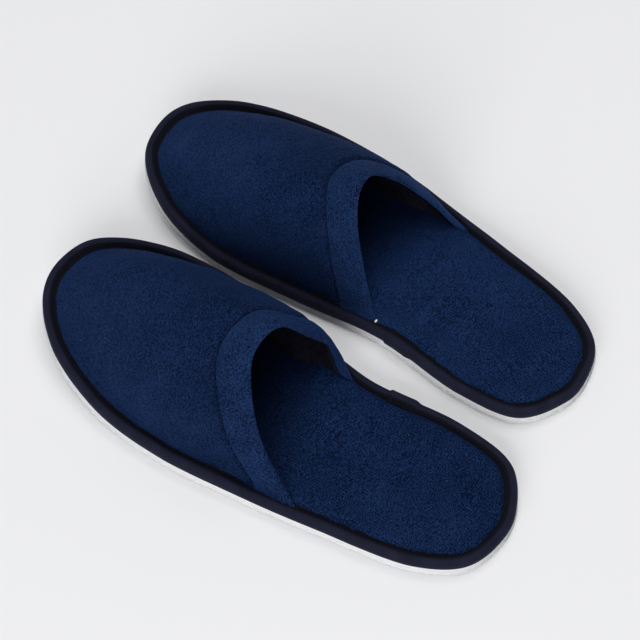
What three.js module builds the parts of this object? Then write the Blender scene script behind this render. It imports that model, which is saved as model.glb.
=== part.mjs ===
// Pair of closed-toe, open-heel spa slippers. Millimetres, +Z up, toes along +Y,
// soles on z = 0, origin under the middle of the pair's box.
// Each slipper is drawn once in its own frame (+X to the toe, +Y to the outer side of the
// foot) and placed twice; the right one is the mirror image of the left one.
import * as THREE from 'three';

// ---- driving sizes -------------------------------------------------------------------
const HALF_STATIONS = 22;          // stations along the sole, on each side
const TOE_SPRING = 13.3;           // how far the toe tip curls up off the floor
const SPRING_START = 43.5;         // where the curl starts, from the middle of the sole
const SPRING_RUN = 99;
const TREAD = [0, 2.0];            // outsole sheet, bottom and top
const MIDSOLE = [2.3, 4.8];        // white foam sheet over it
const TAPE = 0.9;                  // binding tape thickness
const TAPE_BOTTOM = 5.1;
const TAPE_REACH = 5.3;            // how far the tape folds in over the top
const TAPE_UNDER = 6.3;            // and underneath
const BOARD = [6.3, 7.1];
const PAD_BOTTOM = 7.4;            // insole foam
const PAD_EDGE = 8.1;              // squeezed under the tape
const PAD_TOP = 9.3;
const COVER_EDGE = [8.4, 9.4];     // insole fleece, squeezed under the tape
const COVER = [9.6, 11.6];         // and at full thickness
const FLANGE = [9.7, 10.7];        // foot of the upper, caught under the tape
const LIP_TOE = 11.9;              // top of the tape over the upper
const LIP_HEEL = 10.7;             // top of the tape round the bare heel
const FOOT_INSET = 6;              // the upper rises this far in from the edge
const FLEECE = 1.6;                // upper fleece thickness
const FOAM = [2.15, 3.9];           // interlining, measured in from the outer skin
const LINING = [4.4, 5.0];
const CUFF_PROUD = 1.0;            // the cuff band stands this far over the upper
const CUFF_INNER = 6.0;            // and ends this deep inside
const CUFF_ROLL = 3.0;             // its rolled edge reaches this far past the interlining
const SEAM_GAP = 0.25;
const THREAD = 0.5;
const PAIR_GAP = [112.1, 12.6];    // right slipper from the left one: across, ahead
const SPLAY = 2.4;                 // degrees that each toe points outwards

// ---- drawn lines (one slipper) -------------------------------------------------------
const OUTLINE = [[-142.5, 0], [-135, 23.5], [-111, 38.5], [-62, 47], [-12, 53], [33, 56],
  [77, 51.5], [117, 35], [138, 13], [142.5, -5], [136.5, -29], [111, -48], [72, -56],
  [12, -49.5], [-38, -41.5], [-92, -44], [-126, -37], [-140.5, -15]];
// edge of the opening and the seam under the cuff band, from the outer foot to the inner
const OPENING = [[-35, 41, 11.4], [-13, 31, 34], [-1.5, 20, 52], [5.5, 8, 65], [6.5, -4, 70.5],
  [2, -14, 67], [-5, -22, 55], [-14, -28, 36], [-25, -33.5, 11.4]];
const SEAM = [[-19, 46, 11.4], [0, 40, 33], [14, 28, 50.5], [22, 13.5, 62], [23, -2, 67.5],
  [18.5, -15.5, 66], [11, -26.5, 57], [2, -34.5, 41], [-9, -38.2, 11.4]];

const v3 = (x, y, z) => new THREE.Vector3(x, y, z);
const lerp = THREE.MathUtils.lerp;
const spline = (list, closed) => new THREE.CatmullRomCurve3(
  list.map(([x, y, z = 0]) => v3(x, y, z)), closed, 'centripetal');
const spring = (x) => TOE_SPRING * Math.max(0, (x - SPRING_START) / SPRING_RUN) ** 2;

// ---- outline stations: heel tip, outer side to the toe tip, inner side back ------------
function makeStations() {
  const curve = spline(OUTLINE, true);
  const many = 1440;
  const dots = [];
  for (let k = 0; k < many; k++) dots.push({ p: curve.getPoint(k / many), t: curve.getTangent(k / many) });
  const heel = dots.reduce((b, d, k) => (d.p.x < dots[b].p.x ? k : b), 0);
  const ring = dots.slice(heel).concat(dots.slice(0, heel));
  const toe = ring.reduce((b, d, k) => (d.p.x > ring[b].p.x ? k : b), 0);
  const [x0, x1] = [ring[0].p.x, ring[toe].p.x];
  const out = [];
  for (let i = 0; i < 2 * HALF_STATIONS; i++) {
    const x = (x0 + x1) / 2 - ((x1 - x0) / 2) * Math.cos((Math.PI * i) / HALF_STATIONS);
    const side = i <= HALF_STATIONS ? ring.slice(0, toe + 1) : ring.slice(toe).reverse();
    let k = side.findIndex((d) => d.p.x >= x - 1e-9);
    if (k < 0) k = side.length - 1;
    const a = side[Math.max(0, k - 1)];
    const b = side[k];
    const f = b.p.x > a.p.x ? (x - a.p.x) / (b.p.x - a.p.x) : 1;
    const t = a.t.clone().lerp(b.t, f).normalize();
    const n = v3(t.y, -t.x, 0);
    const p = a.p.clone().lerp(b.p, f);
    if (n.dot(p) < 0) n.negate();
    out.push({ p, n });
  }
  return out;
}
const STATIONS = makeStations();
const N = STATIONS.length;
const inset = (i, d, z) => {
  const s = STATIONS[(i + N) % N];
  const p = s.p.clone().addScaledVector(s.n, -d);
  return v3(p.x, p.y, z + spring(p.x));
};

// ---- outer skin of the upper ------------------------------------------------------------
// Columns run from the opening edge over the seam and down to the sole; column 0 starts at
// the outer side, the last one ends at the inner side, the middle one at the toe tip.
const FIRST = HALF_STATIONS / 2;
const COLUMNS = HALF_STATIONS + 1;
const ROWS_OVER = 6;
const opening = spline(OPENING, false);
const seam = spline(SEAM, false);

function skinPoint(v, w) {          // w: 0..1 opening to seam, 1..2 seam to the sole
  const e = opening.getPointAt(v);
  const s = seam.getPointAt(v);
  if (w <= 1) {
    const p = e.lerp(s, w);
    p.addScaledVector(v3(0, 0, 1), 1.2 * Math.sin(Math.PI * w) * Math.sin(Math.PI * v));
    return p;
  }
  const at = FIRST + v * HALF_STATIONS;
  const i = Math.min(Math.floor(at), FIRST + HALF_STATIONS - 1);
  const foot = inset(i, FOOT_INSET, 0).lerp(inset(i + 1, FOOT_INSET, 0), at - i);
  const u = w - 1;
  const side = Math.abs(2 * v - 1);
  const p = v3(lerp(s.x, foot.x, u), lerp(s.y, foot.y, u), 0);
  const fall = (1 - u ** lerp(1.4, 1.9, side)) ** lerp(0.85, 0.8, side);
  const full = 5 * Math.sin(Math.PI * u) * Math.sin(Math.PI * side) * Math.sin(Math.PI * v);
  p.z = FLANGE[1] + spring(p.x) + (s.z - FLANGE[1]) * fall + full;
  return p;
}
function skinNormal(v, w) {
  const h = 0.004;
  const [v0, v1] = [Math.max(0, v - h), Math.min(1, v + h)];
  const [w0, w1] = [Math.max(0, w - h), Math.min(1.98, w + h)];
  const atSeam = Math.abs(w - 1) < 0.03;     // one shared direction on both sides of the seam
  const u = atSeam ? 1 : w;
  const across = skinPoint(v1, u).sub(skinPoint(v0, u));
  const along = skinPoint(v, w1).sub(skinPoint(v, w0));
  if (atSeam) {
    const s = skinPoint(v, 1);
    along.copy(s.clone().sub(skinPoint(v, 0.9)).normalize());
    along.add(skinPoint(v, 1.06).sub(s).normalize());
  }
  const n = across.cross(along).normalize();
  return n.z < 0 ? n.negate() : n;
}
const skin = (v, w, depth) => skinPoint(v, w).addScaledVector(skinNormal(v, w), -depth);

// rows every layer shares, so that the layers run parallel; w of each row for column c
function rowsOf(v) {
  const run = skinPoint(v, 1).distanceTo(skinPoint(v, 1.2)) / 0.2;
  const band = skinPoint(v, 0).distanceTo(skinPoint(v, 1));
  let low = 1.96;                   // lowest row of the inner layers, clear of the insole
  while (low > 1.2) {
    const p = skin(v, low, LINING[1]);
    if (p.z - spring(p.x) > COVER[1] + 0.45) break;
    low -= 0.01;
  }
  const rows = [0, 0.5, 1 - SEAM_GAP / band, 1 + SEAM_GAP / run];
  for (let k = 1; k <= ROWS_OVER; k++) rows.push(lerp(rows[3], low, k / ROWS_OVER));
  return rows;
}
const COLS = Array.from({ length: COLUMNS }, (_, c) => {
  const v = c / (COLUMNS - 1);
  return { v, i: FIRST + c, rows: rowsOf(v) };
});

// ---- mesh builders ------------------------------------------------------------------------
function solid(points, tris) {
  let volume = 0;
  for (let k = 0; k < tris.length; k += 3) {
    const [a, b, c] = [points[tris[k]], points[tris[k + 1]], points[tris[k + 2]]];
    volume += a.dot(b.clone().cross(c)) / 6;
  }
  if (volume < 0) for (let k = 0; k < tris.length; k += 3) [tris[k], tris[k + 1]] = [tris[k + 1], tris[k]];
  const geometry = new THREE.BufferGeometry().setFromPoints(points);
  geometry.setIndex(tris);
  geometry.computeVertexNormals();
  return geometry;
}
// a band between two skins, outer[column][row] and inner[column][row]
function band(outer, inner, closed) {
  const cols = outer.length;
  const rows = outer[0].length;
  const points = [...outer.flat(), ...inner.flat()].map((p) => p.clone());
  const at = (s, c, r) => (s * cols + (c % cols)) * rows + r;
  const tris = [];
  const quad = (a, b, c, d) => tris.push(a, b, c, a, c, d);
  const end = closed ? cols : cols - 1;
  for (let c = 0; c < end; c++) {
    for (let r = 0; r < rows - 1; r++) {
      quad(at(0, c, r), at(0, c, r + 1), at(0, c + 1, r + 1), at(0, c + 1, r));
      quad(at(1, c, r), at(1, c + 1, r), at(1, c + 1, r + 1), at(1, c, r + 1));
    }
    const r = rows - 1;
    quad(at(0, c, 0), at(0, c + 1, 0), at(1, c + 1, 0), at(1, c, 0));
    quad(at(0, c, r), at(1, c, r), at(1, c + 1, r), at(0, c + 1, r));
  }
  if (!closed) {
    for (let r = 0; r < rows - 1; r++) {
      quad(at(0, 0, r), at(1, 0, r), at(1, 0, r + 1), at(0, 0, r + 1));
      quad(at(0, end, r), at(0, end, r + 1), at(1, end, r + 1), at(1, end, r));
    }
  }
  return solid(points, tris);
}
// a sheet on the sole's outline: rings of [inset, height] from the middle of the underside
// round the edge to the middle of the top; inset may change from station to station
function sheet(rings) {
  const at = (k, i) => k * N + (i % N);
  const points = rings.flatMap(([d, z]) => STATIONS.map((_, i) => inset(i, d instanceof Function ? d(i) : d, z)));
  const tris = [];
  const quad = (a, b, c, d) => tris.push(a, b, c, a, c, d);
  for (let k = 0; k < rings.length - 1; k++) {
    for (let i = 0; i < N; i++) quad(at(k, i), at(k, i + 1), at(k + 1, i + 1), at(k + 1, i));
  }
  const fill = [];
  fill.push([0, 1, N - 1], [N / 2 - 1, N / 2, N / 2 + 1]);
  for (let i = 1; i < N / 2 - 1; i++) fill.push([i, i + 1, N - i - 1], [i, N - i - 1, N - i]);
  for (const [a, b, c] of fill) {
    tris.push(at(0, c), at(0, b), at(0, a));
    tris.push(at(rings.length - 1, a), at(rings.length - 1, b), at(rings.length - 1, c));
  }
  return solid(points, tris);
}

// ---- the pieces of one slipper --------------------------------------------------------------
const stepIn = STATIONS.map((_, i) => {   // where the insole rises to full thickness
  if (i < FIRST || i > FIRST + HALF_STATIONS) return 0;
  const v = (i - FIRST) / HALF_STATIONS;
  let w = 2;
  while (w > 1.5) {
    const p = skin(v, w, FLEECE);
    if (p.z - spring(p.x) > COVER[1] + 0.4) return p.distanceTo(inset(i, 0, p.z - spring(inset(i, 0, 0).x)));
    w -= 0.005;
  }
  return 10;
});
const underUpper = (i) => {
  const reach = Math.min(Math.abs(i - FIRST), Math.abs(i - FIRST - HALF_STATIONS));
  if (i >= FIRST && i <= FIRST + HALF_STATIONS) return 1;
  return Math.max(0, 1 - reach / 2);
};
const rise = (i) => lerp(8.4, 10.4, underUpper(i)) + Math.max(0, stepIn[i] - 9);
const lipTop = (i) => lerp(LIP_HEEL, LIP_TOE, underUpper(i));

const outsole = sheet([[0.9, TREAD[0]], [0.2, TREAD[0] + 0.7], [0.2, TREAD[1]], [0.3, TREAD[1]]]);
const midsole = sheet([[0.1, MIDSOLE[0]], [0, MIDSOLE[0] + 0.1], [0, MIDSOLE[1] - 0.5], [0.6, MIDSOLE[1]]]);
const board = sheet([[1.9, BOARD[0]], [1.9, BOARD[1]]]);
const pad = sheet([[1.9, PAD_BOTTOM], [1.9, PAD_EDGE], [(i) => rise(i) - 2.0, PAD_EDGE],
  [rise, PAD_TOP]]);
const cover = sheet([[(i) => rise(i) - 0.2, COVER[0]], [(i) => rise(i) - 2.2, COVER_EDGE[0]],
  [1.9, COVER_EDGE[0]], [1.9, COVER_EDGE[1]], [(i) => rise(i) - 2.6, COVER_EDGE[1]],
  [(i) => rise(i) - 1.2, COVER[1] - 0.3], [rise, COVER[1]]]);

const tapeOut = [];
const tapeIn = [];
const stitchOut = [];
const stitchIn = [];
for (let i = 0; i < N; i++) {
  const top = lipTop(i);
  tapeOut.push([[TAPE_UNDER, TAPE_BOTTOM], [1.0, TAPE_BOTTOM], [0.5, TAPE_BOTTOM + 0.5], [0.5, top - 0.5],
    [1.0, top], [TAPE_REACH, top]].map(([d, z]) => inset(i, d, z)));
  tapeIn.push([[TAPE_UNDER, TAPE_BOTTOM + TAPE], [1.6, TAPE_BOTTOM + TAPE], [1.5, TAPE_BOTTOM + TAPE + 0.1],
    [1.5, top - TAPE - 0.1], [1.6, top - TAPE], [TAPE_REACH, top - TAPE]].map(([d, z]) => inset(i, d, z)));
  stitchOut.push([inset(i, 4.4, top + 0.3 + THREAD), inset(i, 4.4 - THREAD, top + 0.3 + THREAD)]);
  stitchIn.push([inset(i, 4.4, top + 0.3), inset(i, 4.4 - THREAD, top + 0.3)]);
}
const tape = band(tapeOut, tapeIn, true);
const stitch = band(stitchOut, stitchIn, true);

const raise = (p, low) => {         // keeps a point of the upper at or over a height
  p.z = Math.max(p.z, low + spring(p.x));
  return p;
};
const clear = (p) => {              // over the insole, and drawn in by as much as it rises
  const z = p.z;
  raise(p, COVER[1] + 0.4);
  p.y -= Math.sign(p.y) * 0.8 * (p.z - z);
  return p;
};
const layer = (from, to, top, bottom) => band(
  COLS.map((c) => c.rows.slice(from, to).map((w) => clear(skin(c.v, Math.max(w, 0.03), top)))),
  COLS.map((c) => c.rows.slice(from, to).map((w) => clear(skin(c.v, Math.max(w, 0.03), bottom)))), false);
const interlining = layer(0, 4 + ROWS_OVER, FOAM[0], FOAM[1]);
const lining = layer(3, 4 + ROWS_OVER, LINING[0], LINING[1]);

const vamp = band(
  COLS.map((c) => [...c.rows.slice(3).map((w) => skin(c.v, w, 0)), skinPoint(c.v, 2),
    inset(c.i, 3.6, FLANGE[1]), inset(c.i, 1.9, FLANGE[1])]),
  COLS.map((c) => [...c.rows.slice(3).map((w) => skin(c.v, w, FLEECE)), raise(skin(c.v, 2, FLEECE), FLANGE[0]),
    inset(c.i, 4.2, FLANGE[0]), inset(c.i, 1.9, FLANGE[0])]), false);

const cuffOut = [];
const cuffIn = [];
for (const { v, rows } of COLS) {
  const [e, m, s] = rows.slice(0, 3);
  const back = skinPoint(v, 0).sub(skinPoint(v, 0.5)).normalize();
  const n = skinNormal(v, 0);
  const edge = (reach, depth) => skinPoint(v, 0).addScaledVector(back, reach).addScaledVector(n, -depth);
  cuffOut.push([skin(v, s, -CUFF_PROUD * 0.3), skin(v, m, -CUFF_PROUD), edge(0.6, -CUFF_PROUD * 0.8),
    edge(CUFF_ROLL * 0.8, 0.4), edge(CUFF_ROLL, 2.8), edge(CUFF_ROLL * 0.7, 5.0), edge(0.4, CUFF_INNER),
    skin(v, m, CUFF_INNER - 0.2), skin(v, s, CUFF_INNER - 0.6)]);
  cuffIn.push([skin(v, s, FLEECE), skin(v, m, FLEECE), skin(v, e, FLEECE),
    edge(0.25, FLEECE), edge(0.5, 3.0), edge(0.25, FOAM[1] + 0.5), skin(v, e, FOAM[1] + 0.5),
    skin(v, m, FOAM[1] + 0.5), skin(v, s, FOAM[1] + 0.5)]);
}
const cuff = band(cuffOut.map((c) => c.map(clear)), cuffIn.map((c) => c.map(clear)), false);

// ---- the pair --------------------------------------------------------------------------------
const PIECES = [
  ['outsole', outsole, 0xe9ebee, 0.75],
  ['midsole', midsole, 0xf1f2f4, 0.7],
  ['insole_board', board, 0xb9a88a, 0.85],
  ['insole_foam', pad, 0xdfe0dc, 0.9],
  ['insole_cover', cover, 0x14264a, 0.97],
  ['edge_binding', tape, 0x12141f, 0.9],
  ['binding_thread', stitch, 0x0c0e18, 0.8],
  ['upper_fleece', vamp, 0x172b4d, 0.97],
  ['upper_interlining', interlining, 0x3a3d45, 0.9],
  ['upper_lining', lining, 0x15111d, 0.9],
  ['cuff_band', cuff, 0x1a2d50, 0.97],
];
const pair = new THREE.Group();
pair.name = 'spa_slippers';
for (const [name, side] of [['left', 1], ['right', -1]]) {
  const slipper = new THREE.Group();
  slipper.name = `${name}_slipper`;
  slipper.position.set((-side * PAIR_GAP[0]) / 2, (-side * PAIR_GAP[1]) / 2, 0);
  slipper.rotation.z = THREE.MathUtils.degToRad(90 + side * SPLAY);
  slipper.scale.y = side;           // the right slipper mirrors the left one
  for (const [piece, shape, colour, roughness] of PIECES) {
    const finish = new THREE.MeshStandardMaterial({ color: colour, roughness, metalness: 0 });
    const mesh = new THREE.Mesh(shape, finish);
    mesh.name = `${name}_${piece}`;
    slipper.add(mesh);
  }
  pair.add(slipper);
}
// the origin is under the middle of the pair
const middle = new THREE.Box3().setFromObject(pair, true).getCenter(v3(0, 0, 0));
for (const slipper of pair.children) slipper.position.sub(v3(middle.x, middle.y, 0));

export default pair;
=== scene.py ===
"""Pair of closed-toe, open-heel spa slippers in navy fleece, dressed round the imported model.

Sizes are millimetres in one slipper's own frame (+X to the toe, +Y to the outer side of the
foot, +Z up). Each slipper is placed into the shared frame, in metres, as its mesh is finished.
"""

import logging
import math
from collections.abc import Callable
from dataclasses import dataclass, field
from enum import Enum

import bmesh
import bpy
import numpy as np
from mathutils import Matrix, Vector, noise


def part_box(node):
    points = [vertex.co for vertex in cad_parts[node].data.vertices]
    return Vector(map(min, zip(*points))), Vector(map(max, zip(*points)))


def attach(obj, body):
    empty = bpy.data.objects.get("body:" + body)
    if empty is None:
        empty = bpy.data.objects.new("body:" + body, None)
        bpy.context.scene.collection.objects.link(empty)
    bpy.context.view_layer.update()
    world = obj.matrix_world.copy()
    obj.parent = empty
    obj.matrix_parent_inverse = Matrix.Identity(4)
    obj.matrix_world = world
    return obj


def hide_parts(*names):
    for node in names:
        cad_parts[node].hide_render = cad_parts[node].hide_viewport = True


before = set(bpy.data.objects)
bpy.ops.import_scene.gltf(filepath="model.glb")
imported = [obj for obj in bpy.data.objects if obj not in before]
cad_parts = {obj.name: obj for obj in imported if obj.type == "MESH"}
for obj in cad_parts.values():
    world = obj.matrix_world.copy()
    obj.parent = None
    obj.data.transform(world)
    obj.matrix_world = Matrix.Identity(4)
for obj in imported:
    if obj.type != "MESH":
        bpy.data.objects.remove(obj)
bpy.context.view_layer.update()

LOG = logging.getLogger("slippers")
MM = 0.001
TWO_PI = 2 * math.pi


class Side(Enum):
    """Which foot a slipper is made for; the value mirrors the slipper's own frame."""

    LEFT = 1
    RIGHT = -1

    @property
    def body(self) -> str:
        """The rigid body that the slipper's pieces ride on."""
        return f"{self.name.lower()}_slipper"

    def piece(self, kind: str) -> str:
        """The name of a piece of this slipper."""
        return f"{self.name.lower()}_{kind}"


# ---- curves and the sole's outline ---------------------------------------------------------


class Spline:
    """Centripetal Catmull-Rom curve through a few points, read by share of its length."""

    def __init__(self, points: np.ndarray, closed: bool = False, fine: int = 80) -> None:
        """Samples the curve.

        Args:
            points: one row of three coordinates for each point the curve passes through.
            closed: True for a ring.
            fine: samples between two points.
        """
        if closed:
            padded = np.vstack([points[-1], points, points[0], points[1]])
        else:
            padded = np.vstack([2 * points[0] - points[1], points, 2 * points[-1] - points[-2]])
        share = np.linspace(0, 1, fine, endpoint=False)[:, None]
        runs = [self._run(*padded[k:k + 4], share) for k in range(len(padded) - 3)]
        self.dots = np.vstack([*runs, points[:1] if closed else points[-1:]])
        steps = np.linalg.norm(np.diff(self.dots, axis=0), axis=1)
        self.lengths = np.concatenate([[0], np.cumsum(steps)])

    @staticmethod
    def _run(a: np.ndarray, b: np.ndarray, c: np.ndarray, d: np.ndarray, s: np.ndarray) -> np.ndarray:
        """Points of the stretch between the middle two of four points.

        Args:
            a: the point before the stretch.
            b: the start of the stretch.
            c: its end.
            d: the point after it.
            s: shares, 0 to 1, of the stretch.

        Returns:
            One row of three coordinates for each share.
        """
        ab, bc, cd = (math.sqrt(np.linalg.norm(q - p)) for p, q in ((a, b), (b, c), (c, d)))
        out = ((b - a) / ab - (c - a) / (ab + bc) + (c - b) / bc) * bc
        into = ((c - b) / bc - (d - b) / (bc + cd) + (d - c) / cd) * bc
        return b + out * s + (3 * (c - b) - 2 * out - into) * s**2 + (2 * (b - c) + out + into) * s**3

    @property
    def length(self) -> float:
        """Length of the whole curve."""
        return float(self.lengths[-1])

    def at(self, share: np.ndarray) -> np.ndarray:
        """Points at shares 0 to 1 of the curve's length."""
        run = np.asarray(share) * self.length
        return np.stack([np.interp(run, self.lengths, self.dots[:, k]) for k in range(3)], axis=-1)


@dataclass
class Last:
    """The outline and toe spring that every layer of the sole is cut to."""

    outline: tuple = (
        (-142.5, 0), (-135, 23.5), (-111, 38.5), (-62, 47), (-12, 53), (33, 56),
        (77, 51.5), (117, 35), (138, 13), (142.5, -5), (136.5, -29), (111, -48),
        (72, -56), (12, -49.5), (-38, -41.5), (-92, -44), (-126, -37), (-140.5, -15),
    )
    toe_spring: float = 13.3
    spring_start: float = 43.5
    spring_run: float = 99.0
    half_stations: int = 22

    def __post_init__(self) -> None:
        """Samples the outline from the heel tip, round the outer side, the toe and back."""
        ring = Spline(np.array([(x, y, 0.0) for x, y in self.outline]), closed=True).dots[:-1]
        ring = np.roll(ring, -int(np.argmin(ring[:, 0])), axis=0)
        self.ring = Spline(ring, closed=True, fine=2)
        self.length = self.ring.length
        self.toe = int(np.argmax(ring[:, 0]))
        self.sides = (ring[:self.toe + 1], np.vstack([ring[self.toe:], ring[:1]])[::-1])

    def spring(self, x: np.ndarray) -> np.ndarray:
        """How far the sole is curled up off the floor at x."""
        return self.toe_spring * np.clip((x - self.spring_start) / self.spring_run, 0, None)**2

    def edge(self, share: np.ndarray, inset: np.ndarray, z: np.ndarray) -> np.ndarray:
        """Points a given inset from the outline.

        Args:
            share: 0 to 1 round the outline from the heel tip, outer side first.
            inset: distance in from the outline.
            z: height over the uncurled floor.

        Returns:
            One row of three coordinates for each share.
        """
        share = np.mod(share, 1.0)
        step = 1e-3
        p = self.ring.at(share)
        along = self.ring.at(np.mod(share + step, 1)) - self.ring.at(np.mod(share - step, 1))
        out = np.stack([along[..., 1], -along[..., 0]], axis=-1)
        out /= np.linalg.norm(out, axis=-1, keepdims=True)
        middle = self.ring.dots.mean(axis=0)[:2]
        out *= np.sign(np.sum(out * (p[..., :2] - middle), axis=-1, keepdims=True))
        p = p.copy()
        p[..., :2] -= out * np.asarray(inset)[..., None]
        p[..., 2] = z + self.spring(p[..., 0])
        return p

    def share_of(self, station: np.ndarray) -> np.ndarray:
        """Share of the outline at a station; stations bunch towards the heel and toe tips.

        Args:
            station: 0 at the heel tip, half_stations at the toe tip, outer side first.

        Returns:
            Shares, 0 to 1, round the outline from the heel tip.
        """
        station = np.mod(np.asarray(station, float), 2 * self.half_stations)
        low, high = self.sides[0][0, 0], self.sides[0][-1, 0]
        x = (low + high) / 2 - (high - low) / 2 * np.cos(np.pi * station / self.half_stations)
        count = len(self.ring.dots) - 1
        steps = self.ring.lengths / self.length
        xs, toe = self.ring.dots[:, 0], 2 * self.toe
        outer = np.interp(x, xs[:toe + 1], steps[:toe + 1])
        inner = np.interp(x, xs[toe:count + 1][::-1], steps[toe:count + 1][::-1])
        return np.where(station <= self.half_stations, outer, inner)


@dataclass
class UpperForm:
    """The outer skin of a slipper's upper, from the opening over the cuff's seam to the sole.

    Column v runs from the outer side of the foot (0) round the toe to the inner side (1).
    Row w runs from the opening's edge (0) over the seam (1) to the sole (2).
    """

    last: Last
    opening: tuple
    seam: tuple
    foot_inset: float = 7.0
    foot_height: float = 9.9
    crown: float = 3.2
    band_crown: float = 1.2
    slump: float = 0.0
    slump_span: tuple = (0.69, 1.02)
    slump_rise: float = 0.12
    hollow: float = 0.0
    hollow_span: tuple = (0.44, 0.88)
    hollow_at_seam: float = 0.45

    def __post_init__(self) -> None:
        """Makes the two drawn lines."""
        self.opening_line = Spline(np.array(self.opening, float))
        self.seam_line = Spline(np.array(self.seam, float))

    def share_at_foot(self, v: np.ndarray) -> np.ndarray:
        """Share of the sole's outline under column v."""
        half = self.last.half_stations
        return self.last.share_of(half / 2 + v * half)

    @staticmethod
    def swell(v: np.ndarray, span: tuple) -> np.ndarray:
        """0 outside a span of columns, rising smoothly to 1 in its middle."""
        return np.sin(np.pi * np.clip((v - span[0]) / (span[1] - span[0]), 0, 1))**2

    def point(self, v: np.ndarray, w: np.ndarray) -> np.ndarray:
        """Points of the skin.

        Args:
            v: columns, 0 to 1.
            w: rows, 0 to 2.

        Returns:
            One row of three coordinates for each pair.
        """
        v = np.clip(v, 0, 1)
        e, s = self.opening_line.at(v), self.seam_line.at(v)
        over = np.minimum(w, 1)
        p = e + (s - e) * over[..., None]
        p[..., 2] += self.band_crown * np.sin(np.pi * np.clip(over, 0, 1)) * np.sin(np.pi * v)
        u = np.clip(w - 1, 0, 1)
        foot = self.last.edge(self.share_at_foot(v), np.full_like(v, self.foot_inset), 0.0)
        side = np.sqrt((2 * v - 1)**2 + 0.03)
        low = s + (foot - s) * u[..., None]
        fall = (1 - u**(1.4 + 0.5 * side))**(0.85 - 0.05 * side)
        full = self.crown * np.sin(np.pi * u) * np.sin(np.pi * np.minimum(side, 1)) * np.sin(np.pi * v)
        low[..., 2] = self.foot_height + self.last.spring(low[..., 0]) + full
        low[..., 2] += (s[..., 2] - self.foot_height) * fall
        p = np.where((w <= 1)[..., None], p, low)
        lean = self.slump * self.swell(v, self.slump_span) * (1 - u)
        p[..., 1] -= lean
        p[..., 2] += self.slump_rise * lean
        sunk = self.hollow_at_seam * smooth(w, 0.0, 0.9) * (1 - u)**2 + np.sin(np.pi * u**0.7)
        p[..., 2] -= self.hollow * self.swell(v, self.hollow_span) * sunk
        return p

    def normal(self, v: np.ndarray, w: np.ndarray) -> np.ndarray:
        """Outward directions of the skin.

        Args:
            v: columns, 0 to 1.
            w: rows, held a little inside the foot.

        Returns:
            One unit vector for each pair.
        """
        dv, dw = 0.006, 0.02
        w = np.clip(w, -1, 1.97)
        across = self.point(v + dv, w) - self.point(v - dv, w)
        along = self.point(v, w + dw) - self.point(v, w - dw)
        n = np.cross(across, along)
        return n / np.linalg.norm(n, axis=-1, keepdims=True)

    def skin(self, v: np.ndarray, w: np.ndarray, depth: np.ndarray) -> np.ndarray:
        """Points a depth under the outer skin."""
        return self.point(v, w) - self.normal(v, w) * np.asarray(depth)[..., None]

    def even_rows(self, v: np.ndarray, share: np.ndarray, first: float, last: float) -> np.ndarray:
        """Rows that split each column evenly by its length.

        Args:
            v: the columns, one for each point.
            share: 0 to 1 down the column, one for each point.
            first: row at share 0.
            last: row at share 1.

        Returns:
            The row w of each point.
        """
        columns, back = np.unique(np.round(v, 6), return_inverse=True)
        rows = first + (last - first) * (1 - (1 - np.linspace(0, 1, 160))**1.8)
        grid_v, grid_w = np.meshgrid(columns, rows, indexing="ij")
        steps = np.linalg.norm(np.diff(self.point(grid_v, grid_w), axis=1), axis=2)
        run = np.concatenate([np.zeros((len(columns), 1)), np.cumsum(steps, axis=1)], axis=1)
        run /= run[:, -1:]
        out = np.empty_like(share)
        for k in range(len(columns)):
            here = back.ravel() == k
            out[here] = np.interp(share[here], run[k], rows)
        return out


def ripple(points: np.ndarray, size: float, seed: float) -> np.ndarray:
    """Smooth noise of about -1 to 1 at points, with lumps of a size in millimetres."""
    shift = Vector((seed * 17.3, seed * 5.1, seed * 9.7))
    return np.array([noise.noise(Vector(p) / size + shift) for p in points]) * 1.6


@dataclass(frozen=True)
class Lumps:
    """Smooth random unevenness: its size and height in millimetres, and its own seed."""

    size: float
    height: float
    seed: float = 0.0

    def at(self, points: np.ndarray, seed: float = 0.0) -> np.ndarray:
        """Heights at points; each slipper adds its own seed."""
        return self.height * ripple(points, self.size, self.seed + seed)


def smooth(x: np.ndarray, low: float, high: float) -> np.ndarray:
    """0 below low, 1 above high, and a smooth step between."""
    t = np.clip((np.asarray(x, float) - low) / (high - low), 0, 1)
    return t * t * (3 - 2 * t)


# ---- node helpers, shared node groups and finishes -------------------------------------------


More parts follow.
